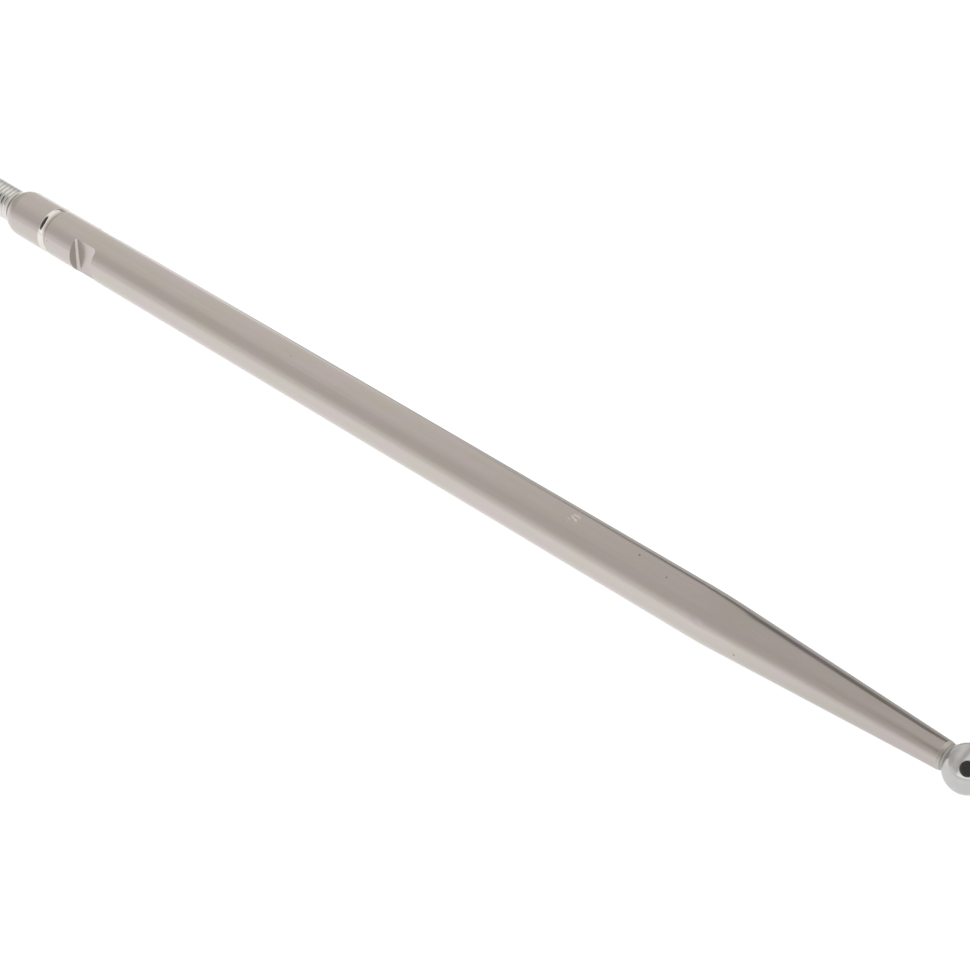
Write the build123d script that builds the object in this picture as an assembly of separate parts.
from build123d import *
import math
import os

# A telescopic antenna rod: one ear of a pair of rabbit ears, pushed fully in.
# Units are millimetres. The rod's axis is the X axis, with the mounting stud towards -X and the
# ball towards +X. The origin is on the axis at the rolled lip of the base tube, where the rod
# seats when its stud is screwed home. +Z is up when the rod lies on its side.

# Base tube: the outer sleeve that the hand holds, with a long cone for a nose
tube_diameter = 7.0
tube_wall = 0.30
cone_start = 134.7          # where the straight tube ends and the cone begins
cone_length = 35.1
cone_blend_radius = 120.0   # the gentle curve that leads from the straight tube into the cone
nose_wall = 0.24            # the drawn-down wall at the cone's small end
nose_roll_length = 0.55     # the last of the cone is rolled in a little more steeply
nose_roll_drop = 0.10
nose_edge_round = 0.06

# Rolled shoulder that holds the plug in at the stud end
shoulder_radius = 3.0       # radius of the rolled curve, seen from the side
lip_land = 0.10             # how far the rolled lip stands out round the stud
lip_edge_round = 0.10
neck_step = 0.20            # how far the plug's neck, inside the lip, is below the stud

# Groove rolled into tube and plug together, so that the tube can't pull off
groove_centre = 9.15
groove_width = 1.45
groove_depth = 0.38

# Two spanner flats pressed into tube and plug
across_flats = 4.0
flat_start = 15.7
flat_length = 4.7
flat_corner_radius = 0.45   # the pressed corner between a flat and its end walls

# Threaded stud, M5 x 0.8
stud_diameter = 5.0
stud_length = 8.0
thread_pitch = 0.8
stud_chamfer = 0.6
stud_collar = 0.6           # the plain part of the stud next to the lip
plug_tail = 2.4             # plug left beyond the flats

# Sliding sections, from the largest to the smallest
second_diameter = 3.18
second_wall = 0.25
third_diameter = 2.38
third_wall = 0.20
rod_diameter = 1.58
mouth_roll_length = 0.8     # the end of a tube that is rolled in to trap the next section

# Feet: a turned spool at the hidden end of each section, which carries its contact springs
second_flange = 1.5
second_waist = 5.0
third_flange = 1.2
third_waist = 4.0
tip_flange = 1.0
tip_waist = 3.5
spigot_length = 4.0         # the part of a foot that is pressed into its tube
rod_spigot_diameter = 0.9   # the rod's turned-down end, riveted through its foot
second_spring_thickness = 0.20
third_spring_thickness = 0.10
tip_spring_thickness = 0.10
spring_gap_angle = 24.0     # open angle between the two half-round springs, at each side

# Ball at the tip
ball_diameter = 6.1
ball_centre_beyond_nose = 2.8
collar_step = 0.02          # how far the ball's collar is below the nose
collar_fillet = 0.3         # between the collar and the ball
ball_bore_depth = 3.4

# Clearances
press_gap = 0.01            # pieces that are pressed together and never move
lip_gap = 0.04              # radial, rolled lip round the plug's neck
running_gap = 0.04          # radial, flange or tube in the bore that it slides in
spring_gap = 0.02           # radial, contact spring to the bore and to the waist it sits in
end_gap = 0.10              # along the rod, between faces that meet when the rod is pushed in
ball_gap = 0.03             # along the rod, between the nose and the ball's collar
foot_gap = 1.0              # along the rod, between one foot and the piece behind it
stop_gap = 0.20             # left before a flange reaches its stop with the section pulled out

# Worked out from the sizes above
tube_radius = tube_diameter / 2
tube_bore = tube_radius - tube_wall
stud_radius = stud_diameter / 2
lip_radius = stud_radius + lip_land
neck_radius = stud_radius - neck_step
nose_end = cone_start + cone_length
plug_end = flat_start + flat_length + tube_wall + plug_tail
second_radius = second_diameter / 2
second_bore = second_radius - second_wall
nose_bore = second_radius + running_gap
nose_radius = nose_bore + nose_wall
rolled_nose_radius = nose_radius - nose_roll_drop
third_radius = third_diameter / 2
third_bore = third_radius - third_wall
rod_radius = rod_diameter / 2

second_foot_start = plug_end + foot_gap
second_tube_start = second_foot_start + 2 * second_flange + second_waist
third_foot_start = second_tube_start + spigot_length + foot_gap
third_tube_start = third_foot_start + 2 * third_flange + third_waist
tip_foot_start = third_tube_start + spigot_length + foot_gap
rod_start = tip_foot_start + 2 * tip_flange + tip_waist

mouth_roll_start = nose_end - mouth_roll_length


def turned(*edges):
    """Turn a closed outline, drawn as (distance along the rod, radius), about the rod's axis."""
    return revolve(make_face(Plane.XZ * Curve(edges)), Axis.X)


def turned_polygon(points):
    """Turn an outline of straight lines about the rod's axis."""
    return turned(*Polyline(*points, close=True).edges())


def shoulder_x(depth, radius):
    """Where the rolled shoulder, taken at a depth under its outside, has a given radius."""
    run = math.sqrt((shoulder_radius - depth) ** 2 - (radius - tube_radius + shoulder_radius) ** 2)
    return shoulder_end - run


# The shoulder's curve runs from the lip, at x = 0, to where it is level with the tube.
shoulder_end = math.sqrt(shoulder_radius**2 - (lip_radius - tube_radius + shoulder_radius) ** 2)


def base_outline(depth, start_radius, tail):
    """Half outline of the base, taken at a depth under the tube's outside.

    It starts on the shoulder at start_radius, follows shoulder and groove, and goes on
    along the edges of tail. The rod's axis closes it.
    """
    radius = tube_radius - depth
    curve = shoulder_radius - depth
    start = (shoulder_x(depth, start_radius), start_radius)
    middle_angle = (math.asin((start_radius - tube_radius + shoulder_radius) / curve) + math.pi / 2) / 2
    middle = (
        shoulder_end - curve * math.cos(middle_angle),
        tube_radius - shoulder_radius + curve * math.sin(middle_angle),
    )
    shoulder = ThreePointArc(start, middle, (shoulder_end, radius))

    half_width = groove_width / 2
    groove_radius = (half_width**2 + groove_depth**2) / (2 * groove_depth)
    arc_radius = groove_radius + depth
    reach = math.sqrt(arc_radius**2 - (arc_radius - groove_depth) ** 2)
    groove_left = (groove_centre - reach, radius)
    groove_right = (groove_centre + reach, radius)
    groove = ThreePointArc(groove_left, (groove_centre, radius - groove_depth), groove_right)

    to_groove = Line((shoulder_end, radius), groove_left)
    to_tail = Line(groove_right, tail[0] @ 0)
    end = tail[-1] @ 1
    closing = Polyline(end, (end.X, 0), (start[0], 0), start)
    return [shoulder, to_groove, groove, to_tail, *tail, *closing.edges()]


def blend_reach(radius, end_radius):
    """How far before the cone's start its leading curve begins, and the cone's angle."""
    angle = math.atan2(radius - end_radius, cone_length)
    return cone_blend_radius * math.tan(angle / 2), angle


def cone_edges(radius, end_radius):
    """The curve that leads into the cone, and the cone's straight side."""
    reach, angle = blend_reach(radius, end_radius)
    curve_end = (cone_start + reach * math.cos(angle), radius - reach * math.sin(angle))
    curve = TangentArc((cone_start - reach, radius), curve_end, tangent=(1, 0))
    return [curve, Line(curve_end, (nose_end, end_radius))]


def flat_cuts(depth):
    """The two blocks that the spanner flats take away, at a depth under the outside."""
    height = across_flats / 2 - depth
    length = flat_length + 2 * depth
    centre_x = flat_start + flat_length / 2
    blocks = []
    block = Box(length, tube_radius, 2 * tube_diameter)
    inner_corners = block.edges().filter_by(Axis.Z).group_by(Axis.Y)[0]
    block = fillet(inner_corners, flat_corner_radius + depth)
    for turn in (0, 180):
        blocks.append(Pos(centre_x, 0, 0) * Rot(turn, 0, 0) * Pos(0, height + tube_radius / 2, 0) * block)
    return blocks


def make_base_tube():
    """The outer sleeve: a thin tube with a rolled shoulder, groove, flats and a long cone."""
    curve, side = cone_edges(tube_radius, nose_radius)
    roll_start = side @ (1 - nose_roll_length / side.length)
    nose_roll = Line(roll_start, (nose_end, rolled_nose_radius))
    outside_cone = [curve, Line(side @ 0, roll_start), nose_roll]
    outside = turned(*base_outline(0, lip_radius, outside_cone)) - flat_cuts(0)
    mouth = Line((nose_end, nose_bore), (nose_end + 1, nose_bore))
    inside_cone = [*cone_edges(tube_bore, nose_bore), mouth]
    hole_radius = neck_radius + lip_gap
    inside = turned(*base_outline(tube_wall, hole_radius, inside_cone)) - flat_cuts(tube_wall)
    neck_hole = Pos(shoulder_end / 2, 0, 0) * Rot(0, 90, 0) * Cylinder(hole_radius, 2 * shoulder_end)
    tube = outside - inside - neck_hole
    nose_edge = tube.edges().group_by(Axis.X)[-1].sort_by(SortBy.RADIUS)[-1]
    tube = fillet(nose_edge, nose_edge_round)
    lip_edge = tube.edges().group_by(Axis.X)[0].sort_by(SortBy.RADIUS)[-1]
    return fillet(lip_edge, lip_edge_round)


def thread_points():
    """The stud's side from its tip to the base's lip, as rings of M5 thread form."""
    depth = 0.613 * thread_pitch
    flank = depth * math.tan(math.radians(30))
    crest = thread_pitch / 8
    root_radius = stud_radius - depth
    points = [(-stud_length, stud_radius - stud_chamfer), (-stud_length + stud_chamfer, stud_radius)]
    turns = int((stud_length - stud_chamfer - crest - stud_collar) / thread_pitch)
    for turn in range(turns):
        start = -stud_length + stud_chamfer + crest + turn * thread_pitch
        points.append((start, stud_radius))
        points.append((start + flank, root_radius))
        points.append((start + thread_pitch - crest - flank, root_radius))
        points.append((start + thread_pitch - crest, stud_radius))
    return points


def make_base_plug():
    """The solid plug in the tube's end, turned in one piece with the mounting stud."""
    depth = tube_wall + press_gap
    plug_radius = tube_radius - depth
    side = Line((flat_start + flat_length, plug_radius), (plug_end, plug_radius))
    body = turned(*base_outline(depth, neck_radius, [side])) - flat_cuts(depth)
    stud_back = -press_gap
    neck_end = shoulder_x(depth, neck_radius)
    neck = [(stud_back, stud_radius), (stud_back, neck_radius), (neck_end, neck_radius), (neck_end, 0)]
    return body + turned_polygon([(-stud_length, 0), *thread_points(), *neck])


def make_section_tube(start, radius, bore, next_radius):
    """A sliding tube whose mouth is rolled in round the next section."""
    mouth_bore = next_radius + running_gap
    rolled_in = bore - mouth_bore
    return turned_polygon(
        [
            (start, bore),
            (start, radius),
            (mouth_roll_start, radius),
            (nose_end, radius - rolled_in),
            (nose_end, mouth_bore),
            (mouth_roll_start, bore),
        ]
    )


def spool_points(start, bore, flange, waist, spring_thickness):
    """Outline of a foot's two flanges and the waist between them, sized to slide in a bore."""
    flange_radius = bore - running_gap
    waist_radius = bore - 2 * spring_gap - spring_thickness
    waist_start = start + flange
    waist_end = waist_start + waist
    return [
        (start, flange_radius),
        (waist_start, flange_radius),
        (waist_start, waist_radius),
        (waist_end, waist_radius),
        (waist_end, flange_radius),
        (waist_end + flange, flange_radius),
    ]


def make_tube_foot(start, bore, flange, waist, spring_thickness, tube_inside):
    """A foot with a spigot that is pressed into the hidden end of its tube."""
    spool = spool_points(start, bore, flange, waist, spring_thickness)
    tube_start = spool[-1][0]
    spigot_radius = tube_inside - press_gap
    spigot_end = tube_start + spigot_length
    spigot = [(tube_start, spigot_radius), (spigot_end, spigot_radius), (spigot_end, 0)]
    return turned_polygon([(start, 0), *spool, *spigot])


def make_rod_foot(start, bore, flange, waist, spring_thickness):
    """A foot with a hole through it for the turned-down end of the solid rod."""
    spool = spool_points(start, bore, flange, waist, spring_thickness)
    hole_radius = rod_spigot_diameter / 2 + press_gap
    return turned_polygon([(start, hole_radius), *spool, (spool[-1][0], hole_radius)])


def make_springs(start, bore, flange, waist, spring_thickness):
    """The two half-round contact springs that sit in a foot's waist and rub on the bore."""
    outer = bore - spring_gap
    first = start + flange + end_gap
    last = start + flange + waist - end_gap
    inner = outer - spring_thickness
    springs = []
    for side in (0, 180):
        outline = Polyline((first, inner), (first, outer), (last, outer), (last, inner), close=True)
        band = revolve(make_face(Plane.XZ * outline), Axis.X, 180 - spring_gap_angle)
        springs.append(Rot(side + spring_gap_angle / 2, 0, 0) * band)
    return springs


def make_tip_rod():
    """The solid innermost rod, from its riveted end in the foot to its end in the ball."""
    spigot_radius = rod_spigot_diameter / 2
    end = nose_end + ball_gap + ball_bore_depth - end_gap
    return turned_polygon(
        [
            (tip_foot_start, 0),
            (tip_foot_start, spigot_radius),
            (rod_start, spigot_radius),
            (rod_start, rod_radius),
            (end, rod_radius),
            (end, 0),
        ]
    )


def make_ball_tip():
    """The round end: a ball with a short collar that closes the nose, bored for the rod."""
    collar_start = nose_end + ball_gap
    centre = nose_end + ball_centre_beyond_nose
    ball = Pos(centre, 0, 0) * Sphere(ball_diameter / 2)
    collar_length = centre - collar_start
    collar = Pos(collar_start + collar_length / 2, 0, 0) * Rot(0, 90, 0)
    ball += collar * Cylinder(rolled_nose_radius - collar_step, collar_length)
    rings = ball.edges().filter_by(lambda edge: edge.is_closed)
    ball = fillet(rings.sort_by(Axis.X)[-1], collar_fillet)
    behind_collar = Pos(collar_start - ball_diameter / 2, 0, 0)
    ball -= behind_collar * Box(ball_diameter, 2 * ball_diameter, 2 * ball_diameter)
    bore = Pos(collar_start + ball_bore_depth / 2, 0, 0) * Rot(0, 90, 0)
    return ball - bore * Cylinder(rod_radius + press_gap, ball_bore_depth)


def build():
    """Every piece of the rod, by name, with the sections pushed in."""
    second_spool = (second_foot_start, tube_bore, second_flange, second_waist, second_spring_thickness)
    third_spool = (third_foot_start, second_bore, third_flange, third_waist, third_spring_thickness)
    tip_spool = (tip_foot_start, third_bore, tip_flange, tip_waist, tip_spring_thickness)
    pieces = {
        "base_plug": make_base_plug(),
        "base_tube": make_base_tube(),
        "second_foot": make_tube_foot(*second_spool, second_bore),
        "second_tube": make_section_tube(second_tube_start, second_radius, second_bore, third_radius),
        "third_foot": make_tube_foot(*third_spool, third_bore),
        "third_tube": make_section_tube(third_tube_start, third_radius, third_bore, rod_radius),
        "tip_foot": make_rod_foot(*tip_spool),
        "tip_rod": make_tip_rod(),
        "ball_tip": make_ball_tip(),
    }
    for section, spool in (("second", second_spool), ("third", third_spool), ("tip", tip_spool)):
        for number, spring in enumerate(make_springs(*spool), start=1):
            pieces[f"{section}_spring_{number}"] = spring
    return pieces


# How far each section slides out: its foot's front flange stops where the bore narrows.
bore_narrows = cone_start - blend_reach(tube_bore, nose_bore)[0]
second_travel = bore_narrows - second_tube_start - stop_gap
third_travel = mouth_roll_start - third_tube_start - stop_gap
tip_travel = mouth_roll_start - rod_start - stop_gap

os.makedirs("parts", exist_ok=True)
for name, piece in build().items():
    export_step(piece, f"parts/{name}.step")
print(f"slides out: second {second_travel:.2f}, third {third_travel:.2f}, tip {tip_travel:.2f} mm")
